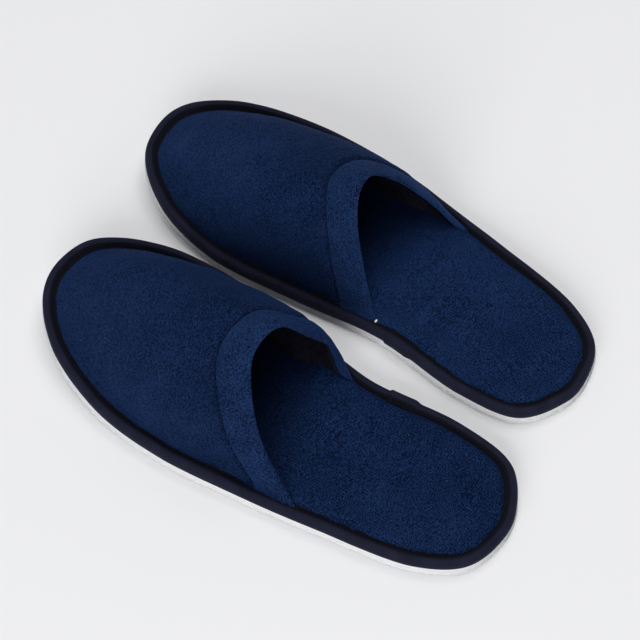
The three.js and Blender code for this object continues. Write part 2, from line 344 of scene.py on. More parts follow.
class Graph:
    """A node tree with short ways to add and join nodes."""

    def __init__(self, tree: bpy.types.NodeTree) -> None:
        """Keeps the tree."""
        self.tree = tree

    def add(self, kind: str, inputs: dict | None = None, **settings: object) -> bpy.types.Node:
        """Adds a node.

        Args:
            kind: the node's type name.
            inputs: values or output sockets for named or numbered input sockets.
            settings: properties of the node.

        Returns:
            The new node.
        """
        node = self.tree.nodes.new(kind)
        for key, value in settings.items():
            setattr(node, key, value)
        for key, value in (inputs or {}).items():
            if isinstance(value, bpy.types.NodeSocket):
                self.tree.links.new(value, node.inputs[key])
            else:
                node.inputs[key].default_value = value
        return node

    def math(self, operation: str, a: object, b: object = 0.0, clamp: bool = False) -> bpy.types.NodeSocket:
        """Output of a math node on two values or sockets."""
        return self.add("ShaderNodeMath", {0: a, 1: b}, operation=operation, use_clamp=clamp).outputs[0]

    def mix(self, share: object, a: object, b: object, blend: str = "MIX") -> bpy.types.NodeSocket:
        """Colour between a and b."""
        node = self.add("ShaderNodeMix", {0: share, 6: a, 7: b}, data_type="RGBA", blend_type=blend)
        return node.outputs[2]

    def scaled(self, vector: object, scale: tuple) -> bpy.types.NodeSocket:
        """A vector stretched by three factors."""
        return self.add("ShaderNodeVectorMath", {0: vector, 1: scale}, operation="MULTIPLY").outputs[0]

    def noise(self, vector: object, scale: float, detail: float = 2.0,
              rough: float = 0.5) -> bpy.types.NodeSocket:
        """Noise value at a vector."""
        inputs = {"Vector": vector, "Scale": scale, "Detail": detail, "Roughness": rough}
        return self.add("ShaderNodeTexNoise", inputs).outputs[0]

    def remap(self, value: object, low: float, high: float, to_low: float = 0.0,
              to_high: float = 1.0) -> bpy.types.NodeSocket:
        """A value moved from one range to another and held inside it."""
        inputs = {0: value, 1: low, 2: high, 3: to_low, 4: to_high}
        return self.add("ShaderNodeMapRange", inputs, clamp=True).outputs[0]


def group(name: str, outputs: tuple,
          build: Callable[[Graph, bpy.types.NodeSocket], dict]) -> bpy.types.NodeTree:
    """Makes a shared node group once.

    Args:
        name: the group's name.
        outputs: the names of its value outputs.
        build: adds the nodes and returns the socket for each output.

    Returns:
        The node group, with one vector input.
    """
    found = bpy.data.node_groups.get(name)
    if found:
        return found
    tree = bpy.data.node_groups.new(name, "ShaderNodeTree")
    tree.interface.new_socket("Vector", in_out="INPUT", socket_type="NodeSocketVector")
    for output in outputs:
        tree.interface.new_socket(output, in_out="OUTPUT", socket_type="NodeSocketFloat")
    graph = Graph(tree)
    entry = tree.nodes.new("NodeGroupInput")
    leave = tree.nodes.new("NodeGroupOutput")
    for output, socket in build(graph, entry.outputs["Vector"]).items():
        tree.links.new(socket, leave.inputs[output])
    return tree


def nap_nodes(g: Graph, vector: bpy.types.NodeSocket) -> dict:
    """Brushed pile: short fibres combed across the foot, in tufts.

    Args:
        g: the group's graph.
        vector: where the pattern is read.

    Returns:
        The socket for each output.
    """
    combed = g.scaled(vector, (0.6, 1.0, 0.8))
    tufts = g.noise(combed, 900.0, 3.0, 0.65)
    fibres = g.noise(g.scaled(vector, (0.45, 1.25, 0.8)), 2000.0, 2.0, 0.6)
    height = g.math("ADD", g.math("MULTIPLY", tufts, 0.62), g.math("MULTIPLY", fibres, 0.38))
    return {"Height": height, "Shade": g.remap(height, 0.40, 0.62)}


def patch_nodes(g: Graph, vector: bpy.types.NodeSocket) -> dict:
    """Where a hand has stroked the pile up or down: soft wide patches.

    Args:
        g: the group's graph.
        vector: where the pattern is read.

    Returns:
        The socket for each output.
    """
    wide = g.noise(vector, 17.0, 2.0, 0.5)
    streaks = g.noise(g.scaled(vector, (0.5, 1.0, 1.0)), 85.0, 2.0, 0.55)
    both = g.math("ADD", g.math("MULTIPLY", wide, 0.6), g.math("MULTIPLY", streaks, 0.4))
    return {"Mask": g.remap(both, 0.36, 0.64)}


def lint_nodes(g: Graph, vector: bpy.types.NodeSocket) -> dict:
    """Sparse pale specks of lint.

    Args:
        g: the group's graph.
        vector: where the pattern is read.

    Returns:
        The socket for each output.
    """
    cells = g.add("ShaderNodeTexVoronoi", {"Vector": vector, "Scale": 260.0, "Randomness": 1.0})
    near = g.remap(cells.outputs["Distance"], 0.09, 0.02)
    pick = g.add("ShaderNodeSeparateColor", {0: cells.outputs["Color"]}).outputs[0]
    return {"Mask": g.math("MULTIPLY", near, g.math("GREATER_THAN", pick, 0.93))}


def rib_nodes(g: Graph, vector: bpy.types.NodeSocket) -> dict:
    """Fine ribs of brushed knit running across the foot.

    Args:
        g: the group's graph.
        vector: where the pattern is read.

    Returns:
        The socket for each output.
    """
    wander = g.noise(vector, 140.0, 2.0, 0.5)
    bent = g.add("ShaderNodeVectorMath", {0: vector, 1: g.math("MULTIPLY", wander, 0.0012)}, operation="ADD")
    wave = g.add("ShaderNodeTexWave", {"Vector": bent.outputs[0], "Scale": 290.0, "Distortion": 0.6,
                                       "Detail": 1.0, "Detail Scale": 2.0}, bands_direction="Y")
    cross = g.add("ShaderNodeTexWave", {"Vector": bent.outputs[0], "Scale": 210.0, "Distortion": 1.2,
                                        "Detail": 1.0, "Detail Scale": 2.0}, bands_direction="X")
    main, minor = g.math("MULTIPLY", wave.outputs[1], 0.7), g.math("MULTIPLY", cross.outputs[1], 0.3)
    return {"Height": g.math("ADD", main, minor)}


def weave_nodes(g: Graph, vector: bpy.types.NodeSocket) -> dict:
    """Close plain weave: two sets of threads.

    Args:
        g: the group's graph.
        vector: where the pattern is read.

    Returns:
        The socket for each output.
    """
    waves = [g.add("ShaderNodeTexWave", {"Vector": vector, "Scale": 560.0, "Distortion": 0.4},
                   bands_direction=way).outputs[1] for way in ("X", "Y")]
    return {"Height": g.math("MULTIPLY", *waves)}


def pore_nodes(g: Graph, vector: bpy.types.NodeSocket) -> dict:
    """Closed cells of pressed foam."""
    cells = g.add("ShaderNodeTexVoronoi", {"Vector": vector, "Scale": 900.0})
    return {"Height": cells.outputs["Distance"]}


SHARED = {
    "Nap": (("Height", "Shade"), nap_nodes),
    "Stroked patches": (("Mask",), patch_nodes),
    "Lint": (("Mask",), lint_nodes),
    "Ribs": (("Height",), rib_nodes),
    "Weave": (("Height",), weave_nodes),
    "Pores": (("Height",), pore_nodes),
}


class Dresser:
    """One material being built: its graph, its shader and the shared groups in it."""

    def __init__(self, name: str, coordinates: str = "Object", uv: bool = False) -> None:
        """Starts a material with its coordinates.

        Args:
            name: the material's name.
            coordinates: the output of Texture Coordinate that the patterns read.
            uv: True to read the piece's own UV map "run" instead.
        """
        self.material = bpy.data.materials.new(name)
        self.material.use_nodes = True
        self.g = Graph(self.material.node_tree)
        self.shader = self.material.node_tree.nodes["Principled BSDF"]
        source = self.g.add("ShaderNodeUVMap", uv_map="run") if uv else None
        self.vector = source.outputs[0] if uv else self.g.add("ShaderNodeTexCoord").outputs[coordinates]

    def shared(self, name: str, vector: object = None) -> bpy.types.Node:
        """Places a shared group in this material.

        Args:
            name: its name in SHARED.
            vector: where it is read; the material's own coordinates if left out.

        Returns:
            The group's node.
        """
        outputs, build = SHARED[name]
        node = self.g.add("ShaderNodeGroup", node_tree=group(name, outputs, build))
        self.g.tree.links.new(vector if vector is not None else self.vector, node.inputs[0])
        return node

    def set(self, **values: object) -> None:
        """Sets constants on the shader's own sockets; an underscore stands for a space."""
        for key, value in values.items():
            self.shader.inputs[key.replace("_", " ")].default_value = value

    def feed(self, socket: str, value: bpy.types.NodeSocket) -> None:
        """Links a value into the shader."""
        self.g.tree.links.new(value, self.shader.inputs[socket])

    def bump(self, layers: list) -> None:
        """Chains bumps into the shader's normal.

        Args:
            layers: (height socket, depth in metres, strength) from coarse to fine.
        """
        normal = None
        for height, depth, strength in layers:
            inputs = {"Height": height, "Distance": depth, "Strength": strength}
            if normal is not None:
                inputs["Normal"] = normal
            normal = self.g.add("ShaderNodeBump", inputs).outputs[0]
        self.feed("Normal", normal)


@dataclass(frozen=True)
class Fleece:
    """Brushed polyester fleece."""

    name: str
    deep: tuple = (0.0008, 0.0028, 0.0130, 1)
    light: tuple = (0.0092, 0.0258, 0.0855, 1)
    lint: tuple = (0.12, 0.20, 0.36, 1)
    lint_share: float = 0.25
    nap_depth: float = 0.0010
    ribbed: float = 0.0
    sheen: float = 0.13
    fine: float = 1.45
    contrast: tuple = (0.14, 0.88)
    patchy: float = 0.2
    # Painted shade: when set, the pile is darkened towards the deep colour by the mesh's 'inside' attribute,
    # where the upper shades the insole.
    inside_shade: bool = False
    inside_shade_share: float = 0.72
    glow: tuple = (0.10, 0.28, 0.85, 1)

    def make(self) -> bpy.types.Material:
        """Builds the material.

        Returns:
            The material.
        """
        d = Dresser(self.name)
        patch, lint = d.shared("Stroked patches"), d.shared("Lint")
        nap = d.shared("Nap", d.g.scaled(d.vector, (self.fine, self.fine, self.fine)))
        share = d.g.math("MULTIPLY", nap.outputs["Shade"], 1 - self.patchy)
        share = d.g.math("ADD", share, d.g.math("MULTIPLY", patch.outputs["Mask"], self.patchy))
        layers = [(nap.outputs["Height"], self.nap_depth, 0.85)]
        if self.ribbed > 0:
            rib = d.shared("Ribs").outputs["Height"]
            share = d.g.math("ADD", share, d.g.math("MULTIPLY", d.g.math("SUBTRACT", rib, 0.5), self.ribbed))
            layers.insert(0, (rib, 0.0003, 0.4))
        colour = d.g.mix(d.g.remap(share, *self.contrast), self.deep, self.light)
        # Painted shade: mixes the colour towards the deep colour by the 'inside' attribute.
        if self.inside_shade:
            inside = d.g.add("ShaderNodeAttribute", attribute_name="inside").outputs["Fac"]
            colour = d.g.mix(d.g.math("MULTIPLY", inside, self.inside_shade_share), colour, self.deep)
        lint_mask = d.g.math("MULTIPLY", lint.outputs["Mask"], self.lint_share)
        d.feed("Base Color", d.g.mix(lint_mask, colour, self.lint))
        d.feed("Roughness", d.g.remap(nap.outputs["Shade"], 0, 1, 0.98, 0.82))
        d.set(Sheen_Weight=self.sheen, Sheen_Roughness=0.42, Sheen_Tint=self.glow)
        d.set(Specular_IOR_Level=0.04)
        d.bump(layers)
        return d.material


@dataclass(frozen=True)
class TapeCloth:
    """Woven binding tape."""

    name: str = "binding_tape"
    deep: tuple = (0.0040, 0.0045, 0.0115, 1)
    light: tuple = (0.0150, 0.0160, 0.0360, 1)
    dust: tuple = (0.16, 0.17, 0.20, 1)
    # Painted shade in the stitched crease along the tape's inner edge: its colour, its span across the
    # tape's UV map in metres, and its strength.
    crease_shade: tuple = (0.0010, 0.0011, 0.0030, 1)
    crease_shade_run: tuple = (0.0124, 0.0136)
    crease_shade_share: float = 0.85

    def make(self) -> bpy.types.Material:
        """Builds the material.

        Returns:
            The material.
        """
        d = Dresser(self.name, uv=True)
        place = d.g.add("ShaderNodeTexCoord").outputs["Object"]
        weave, lint = d.shared("Weave").outputs["Height"], d.shared("Lint", place).outputs["Mask"]
        clouds = d.g.noise(place, 90.0, 3.0, 0.6)
        share = d.g.math("ADD", d.g.math("MULTIPLY", weave, 0.45), d.g.math("MULTIPLY", clouds, 0.75))
        colour = d.g.mix(d.g.remap(share, 0.2, 0.85), self.deep, self.light)
        # Painted shade: darkens the tape near its inner edge, where it dips into the crease by the fleece.
        across = d.g.add("ShaderNodeSeparateXYZ", {0: d.vector}).outputs[1]
        crease_shade = d.g.remap(across, *self.crease_shade_run, 0.0, self.crease_shade_share)
        colour = d.g.mix(crease_shade, colour, self.crease_shade)
        d.feed("Base Color", d.g.mix(d.g.math("MULTIPLY", lint, 0.5), colour, self.dust))
        d.feed("Roughness", d.g.remap(clouds, 0.3, 0.7, 0.72, 0.88))
        d.set(Sheen_Weight=0.06, Sheen_Roughness=0.4, Sheen_Tint=(0.5, 0.5, 0.85, 1))
        d.set(Specular_IOR_Level=0.09)
        d.bump([(clouds, 0.0006, 0.35), (weave, 0.0002, 0.6)])
        return d.material


@dataclass(frozen=True)
class PressedFoam:
    """White EVA and soft foams."""

    name: str
    light: tuple = (0.96, 0.96, 0.97, 1)
    deep: tuple = (0.90, 0.905, 0.92, 1)
    roughness: float = 0.6
    pore_depth: float = 0.0001

    def make(self) -> bpy.types.Material:
        """Builds the material.

        Returns:
            The material.
        """
        d = Dresser(self.name)
        pores = d.shared("Pores").outputs["Height"]
        clouds = d.g.noise(d.vector, 60.0, 3.0, 0.6)
        share = d.g.math("ADD", d.g.math("MULTIPLY", pores, 0.3), d.g.math("MULTIPLY", clouds, 0.8))
        d.feed("Base Color", d.g.mix(d.g.remap(share, 0.3, 0.8), self.deep, self.light))
        d.feed("Roughness", d.g.remap(clouds, 0.3, 0.7, self.roughness - 0.06, self.roughness + 0.08))
        d.set(Specular_IOR_Level=0.35)
        d.bump([(pores, self.pore_depth, 0.5)])
        return d.material


@dataclass(frozen=True)
class Cloth:
    """Plain hidden or inner cloths: lining, interlining, thread, board."""

    name: str
    deep: tuple
    light: tuple
    grain: float = 700.0
    roughness: float = 0.9
    specular: float = 0.15

    def make(self) -> bpy.types.Material:
        """Builds the material.

        Returns:
            The material.
        """
        d = Dresser(self.name)
        grain = d.g.noise(d.vector, self.grain, 3.0, 0.6)
        clouds = d.g.noise(d.vector, 70.0, 2.0, 0.5)
        share = d.g.math("ADD", d.g.math("MULTIPLY", grain, 0.6), d.g.math("MULTIPLY", clouds, 0.4))
        d.feed("Base Color", d.g.mix(d.g.remap(share, 0.35, 0.65), self.deep, self.light))
        d.feed("Roughness", d.g.remap(grain, 0.3, 0.7, self.roughness + 0.05, self.roughness - 0.08))
        d.set(Specular_IOR_Level=self.specular)
        d.bump([(grain, 0.0004, 0.6)])
        return d.material


# ---- mesh helpers ------------------------------------------------------------------------------


@dataclass
class Workbench:
    """Turns a finished bmesh in a slipper's own frame into a placed, dressed piece."""

    side: Side
    last: Last
    splay: float = 2.4

    def __post_init__(self) -> None:
        """Finds where this slipper stands from its packed sole."""
        turn = Matrix.Rotation(math.radians(90 + self.side.value * self.splay), 4, "Z")
        turn = turn @ Matrix.Diagonal((MM, self.side.value * MM, MM, 1))
        spots = [turn @ Vector(p) for p in self.last.ring.dots]
        low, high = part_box(self.side.piece("midsole"))
        spans = [(min(p[k] for p in spots), max(p[k] for p in spots)) for k in (0, 1)]
        offset = [(low[k] + high[k] - sum(spans[k])) / 2 for k in (0, 1)]
        self.place = Matrix.Translation((*offset, 0)) @ turn

    def finish(self, bm: bmesh.types.BMesh, kind: str, material: bpy.types.Material, *,
               closed: bool, slot: str | None = None, thickness: float = 0.0) -> bpy.types.Object:
        """Places a mesh and makes it a piece that rides on this slipper.

        Args:
            bm: the mesh in the slipper's own frame, freed afterwards.
            kind: the piece's name without its side, and the CAD node it stands for.
            material: its finish.
            closed: True if the mesh is a closed shell; an open sheet's highest face looks up.
            slot: not used.
            thickness: thickness that a sheet gets inwards, in millimetres.

        Returns:
            The object.
        """
        bmesh.ops.transform(bm, matrix=self.place, verts=bm.verts)
        if closed:
            bmesh.ops.recalc_face_normals(bm, faces=bm.faces)
        else:
            bm.normal_update()
            top = max(bm.faces, key=lambda f: f.calc_center_median().z + 1e-3 * abs(f.normal.z))
            if top.normal.z < 0:
                bmesh.ops.reverse_faces(bm, faces=bm.faces)
        mesh = bpy.data.meshes.new(self.side.piece(kind))
        bm.to_mesh(mesh)
        bm.free()
        for polygon in mesh.polygons:
            polygon.use_smooth = True
        mesh.materials.append(material)
        piece = bpy.data.objects.new(self.side.piece(kind), mesh)
        bpy.context.scene.collection.objects.link(piece)
        if thickness:
            wall = piece.modifiers.new("thickness", "SOLIDIFY")
            wall.thickness = thickness * MM
            wall.offset = -1.0
        if self.side.piece(kind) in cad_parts:
            piece.name = self.side.piece(kind) + "_made"
            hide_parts(self.side.piece(kind))
        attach(piece, self.side.body)
        LOG.info("%s: %d faces", piece.name, len(mesh.polygons))
        return piece


def lay_grid(across: int, down: int) -> tuple[bmesh.types.BMesh, np.ndarray, np.ndarray]:
    """Starts a sheet from a grid.

    Args:
        across: cells one way.
        down: cells the other way.

    Returns:
        The mesh, and the two shares, 0 to 1, of each vertex, which its UV map "run" also holds.
    """
    bm = bmesh.new()
    bmesh.ops.create_grid(bm, x_segments=across, y_segments=down, size=0.5)
    uv = bm.loops.layers.uv.new("run")
    for face in bm.faces:
        for loop in face.loops:
            loop[uv].uv = (loop.vert.co.x + 0.5, loop.vert.co.y + 0.5)
    shares = np.array([v.co for v in bm.verts], float) + 0.5
    return bm, shares[:, 0], shares[:, 1]


def shape(bm: bmesh.types.BMesh, points: np.ndarray, run: tuple[float, float],
          merge: bool = False) -> None:
    """Moves a sheet's vertices into place.

    Args:
        bm: the mesh.
        points: where each vertex goes.
        run: real length of the UV map both ways, in metres.
        merge: True to join the edges that now meet.
    """
    uv = bm.loops.layers.uv["run"]
    for face in bm.faces:
        for loop in face.loops:
            loop[uv].uv = (loop[uv].uv.x * run[0], loop[uv].uv.y * run[1])
    for vertex, point in zip(bm.verts, points):
        vertex.co = point
    if merge:
        bmesh.ops.remove_doubles(bm, verts=bm.verts, dist=1e-3)


def profile(points: tuple, share: np.ndarray) -> tuple[np.ndarray, np.ndarray]:
    """Smooth line through section points (inset, height), read by share of its length."""
    line = Spline(np.array([(a, b, 0.0) for a, b in points], float)).at(share)
    return line[..., 0], line[..., 1]


# ---- the sub-assemblies ------------------------------------------------------------------------


@dataclass
class Sole:
    """Two die-cut sheets of white EVA under the slipper."""

    bench: Workbench
    finish: PressedFoam
    tread: tuple = (0.0, 2.0)
    midsole: tuple = (2.3, 4.8)
    proud: float = 1.0
    cap_inset: float = 40.0
    rim_lift: float = 0.95
    lift_lumps: tuple = (Lumps(26.0, 0.5, 9), Lumps(7.0, 0.2, 10))
    edge_lumps: tuple = (Lumps(11.0, 0.16), Lumps(3.2, 0.07, 3))
    around: int = 720

    def sheet(self, kind: str, low: float, high: float, wave: float, seed: float) -> None:
        """Cuts one sheet with a slightly uneven edge that is lifted off the floor.

        Args:
            kind: the piece's name without its side.
            low: height of its underside.
            high: height of its top.
            wave: how far its rim waves up and down.
            seed: its own seed.
        """
        bm, share, rise = lay_grid(self.around, 8)
        last = self.bench.last
        inset, z = profile(((self.cap_inset, low), (3, low), (0.9, low), (0.15, low + 0.5),
                            (0.1, (low + high) / 2), (0.2, high - 0.35), (1.0, high), (4, high),
                            (self.cap_inset, high)), rise)
        edge = last.edge(share, np.zeros_like(share), 0.0)
        wobble = sum(lumps.at(edge, seed) for lumps in self.edge_lumps)
        near = smooth(inset, 6, 0)
        lift = self.rim_lift + sum(lumps.at(edge, seed) for lumps in self.lift_lumps)
        body = z + Lumps(16.0, wave, 7).at(edge, seed) * near
        body += np.clip(lift, 0.1, None) * smooth(inset, 4.5, 0.4) * np.clip(1 - z / 4.6, 0, 1)
        shape(bm, last.edge(share, inset - (self.proud + wobble) * near, body),
              (last.length * MM, 0.01), merge=True)
        rims = [e for e in bm.edges if e.is_boundary]
        middle = sum(e.verts[0].co.z for e in rims) / len(rims)
        bmesh.ops.contextual_create(bm, geom=[e for e in rims if e.verts[0].co.z < middle])
        bmesh.ops.contextual_create(bm, geom=[e for e in bm.edges if e.is_boundary])
        self.bench.finish(bm, kind, self.finish.make(), closed=True)

    def build(self) -> None:
        """Makes both sheets."""
        self.sheet("outsole", *self.tread, wave=0.0, seed=1.0)
        self.sheet("midsole", *self.midsole, wave=0.12, seed=2.0)


@dataclass
class Insole:
    """Board, foam and the padded fleece cover the foot stands on; cuts are inset, low, high."""

    bench: Workbench
    fleece: bpy.types.Material
    board: bpy.types.Material
    foam: bpy.types.Material
    board_cut: tuple = (1.9, 6.3, 7.1)
    foam_cut: tuple = (7.5, 7.4, 8.6)
    cover_inset: float = 1.9
    cover_low: float = 8.3
    pad_rise: float = 3.6
    pad_start: float = 5.9
    pad_run: float = 4.2
    crown: float = 0.9
    lumps: tuple = (Lumps(9.0, 0.10, 4), Lumps(46.0, 0.35, 5))
    # Along the foot, where the painted shade under the vamp starts and where it is full.
    inside_shade_from: float = -38.0
    inside_shade_to: float = 14.0
    long: int = 230
    wide: int = 96

    def cell_points(self, s: np.ndarray, t: np.ndarray, inset: float, z: float) -> np.ndarray:
        """Points over the sole.

        Args:
            s: 0 to 1 from heel to toe.
            t: 0 to 1 from the outer to the inner side.
            inset: distance in from the outline.
            z: height over the uncurled floor.

        Returns:
            One row of three coordinates for each pair.
        """
        last, half = self.bench.last, self.bench.last.half_stations
        inset = np.full_like(s, inset)
        outer = last.edge(last.share_of(s * half), inset, 0.0)
        back = np.clip(2 * half - s * half, half, 2 * half - 1e-3)
        inner = last.edge(last.share_of(back), inset, 0.0)
        p = outer + (inner - outer) * t[:, None]
        p[:, 2] = z + last.spring(p[:, 0])
        return p

    def plate(self, kind: str, cut: tuple, material: bpy.types.Material) -> None:
        """A flat hidden layer.

        Args:
            kind: the piece's name without its side.
            cut: its inset, and the heights of its underside and top.
            material: its finish.
        """
        inset, low, high = cut
        bm, s, t = lay_grid(110, 24)
        shape(bm, self.cell_points(s, t, inset, high), (0.28, 0.1), merge=True)
        self.bench.finish(bm, kind, material, closed=False, thickness=high - low)

    def cover(self) -> None:
        """The padded cover: low under the tape, crowned in the middle, with painted shade under the vamp."""
        bm, s, t = lay_grid(self.long, self.wide)
        last = self.bench.last
        plan = self.cell_points(s, t, self.cover_inset, 0.0)
        ring = last.ring.at(np.linspace(0, 1, 1200, endpoint=False))[:, :2]
        depth = np.array([np.sqrt(((ring - p[:2])**2).sum(axis=1)).min() for p in plan])
        covered = smooth(plan[:, 0], -14, 6)
        start = self.pad_start + 1.1 * covered
        top = self.cover_low + self.pad_rise * smooth(depth, start, start + self.pad_run)**0.7
        top += self.crown * smooth(depth, 6, 34) - 0.5 * covered * smooth(depth, 9, 14)
        top += sum(lumps.at(plan) for lumps in self.lumps)
        plan[:, 2] = top + last.spring(plan[:, 0])
        # Painted shade: the 'inside' attribute rises from the heel side to full under the vamp, to darken
        # the cover where the upper shades it.
        layer = bm.verts.layers.float.new("inside")
        inside_shade = smooth(plan[:, 0] + 0.35 * plan[:, 1], self.inside_shade_from, self.inside_shade_to)
        for vertex, value in zip(bm.verts, inside_shade):
            vertex[layer] = value
        shape(bm, plan, (0.28, 0.1), merge=True)
        piece = self.bench.finish(bm, "insole_cover", self.fleece, closed=False, thickness=1.3)

    def build(self) -> None:
        """Makes the three layers."""
        self.plate("insole_board", self.board_cut, self.board)
        self.plate("insole_foam", self.foam_cut, self.foam)
        self.cover()


@dataclass
class Binding:
    """Woven tape folded over the raw edges of sole and upper, stitched through."""

    bench: Workbench
    tape: bpy.types.Material
    thread: bpy.types.Material
    around: int = 900
    section: tuple = ((6.3, 5.15), (1.6, 5.1), (0.25, 5.3), (-0.25, 6.3), (-0.35, 8.0), (-0.15, 9.9),
                      (0.8, 11.6), (2.5, 12.3), (4.0, 11.8), (5.1, 10.5), (5.9, 9.75), (6.5, 9.9),
                      (7.0, 10.4))
    width: float = 19.5
    weave_run: float = 16.5
    lip_heel: float = 10.9
    lip_toe: float = 12.0
    lap_share: float = 0.84
    lap_out: float = 0.85
    lap_up: float = 0.75
    stitch: float = 3.1
    stitch_at: float = 0.868
    pucker_in: float = 0.10
    pucker_up: float = 0.16
    sag: Lumps = Lumps(13.0, 1.0, 11)
    inner_lumps: Lumps = Lumps(7.0, 0.25, 12)
    top_lumps: Lumps = Lumps(21.0, 0.16, 13)
    side_lumps: Lumps = Lumps(17.0, 0.14, 14)
    curl_lumps: Lumps = Lumps(5.0, 0.6, 15)
    seed: float = 0.0

    def lip(self, share: np.ndarray) -> np.ndarray:
        """Height of the tape's top: higher where it holds the upper's edge."""
        x = self.bench.last.ring.at(np.mod(share, 1))[..., 0]
        return self.lip_heel + (self.lip_toe - self.lip_heel) * smooth(x, -16, 2)

    def lap(self, share: np.ndarray) -> np.ndarray:
        """How much thicker the tape is where its two ends lap."""
        gap = (np.mod(share, 1) - self.lap_share) * self.bench.last.length
        return smooth(gap, -9.5, -8.0) * smooth(gap, 10.0, 5.5)

    def surface(self, share: np.ndarray, across: np.ndarray) -> np.ndarray:
        """Outer surface of the tape, with its lap, its gathers at the stitches and a wavy edge.

        Args:
            share: 0 to 1 round the outline.
            across: 0 underneath, 1 at the inner edge on top.

        Returns:
            One row of three coordinates for each pair.
        """
        last, seed = self.bench.last, self.seed
        edge = last.edge(share, np.zeros_like(share), 0.0)
        inset, z = profile(self.section, across)
        top = smooth(z, 6.0, 11.0)
        inner = smooth(across, 0.72, 1.0)
        z = z + (self.lip(share) - self.lip_toe) * top
        lap = self.lap(share)
        inset = inset - self.lap_out * lap * smooth(inset, 6.2, 0.6)
        z = z + self.lap_up * lap * top
        sag = self.sag.at(edge, seed)
        pucker = np.sin(TWO_PI * share * last.length / self.stitch + 2.2 * sag)
        inset = inset + inner * (0.5 * sag + self.pucker_in * pucker)
        curl = smooth(across, 0.93, 1.0) * np.clip(self.curl_lumps.at(edge, seed), 0, None)
        z = z + inner * (self.inner_lumps.at(edge, seed) + self.pucker_up * pucker) + curl
        z = z + top * self.top_lumps.at(edge, seed)
        inset = inset + smooth(across, 0.2, 0.4) * (1 - inner) * self.side_lumps.at(edge, seed)
        return last.edge(share, inset, z)

    def stitches(self) -> None:
        """The row of stitches sunk in the tape near its inner edge."""
        bm = bmesh.new()
        last = self.bench.last
        count = int(last.length / self.stitch)
        shares = (np.arange(count) + 0.5) / count
        row = np.full(count, self.stitch_at)
        here = self.surface(shares, row)
        ahead = self.surface(shares + 0.2 / last.length, row) - here
        for spot, way in zip(here, ahead):
            turn = Vector(way).to_track_quat("X", "Z").to_matrix().to_4x4()
            matrix = Matrix.Translation(Vector(spot) + Vector((0, 0, 0.12))) @ turn
            matrix = matrix @ Matrix.Diagonal((self.stitch * 0.4, 0.24, 0.2, 1))
            bmesh.ops.create_uvsphere(bm, u_segments=6, v_segments=5, radius=1.0, matrix=matrix)
        self.bench.finish(bm, "binding_thread", self.thread, closed=True)

    def build(self) -> None:
        """Makes the tape and its stitches."""
        bm, share, across = lay_grid(self.around, 26)
        last = self.bench.last
        shape(bm, self.surface(share, across), (last.length * MM, self.weave_run * MM), merge=True)
        tape = self.bench.finish(bm, "edge_binding", self.tape, closed=False, thickness=0.55)
        self.bench.side.piece("midsole")
        self.stitches()


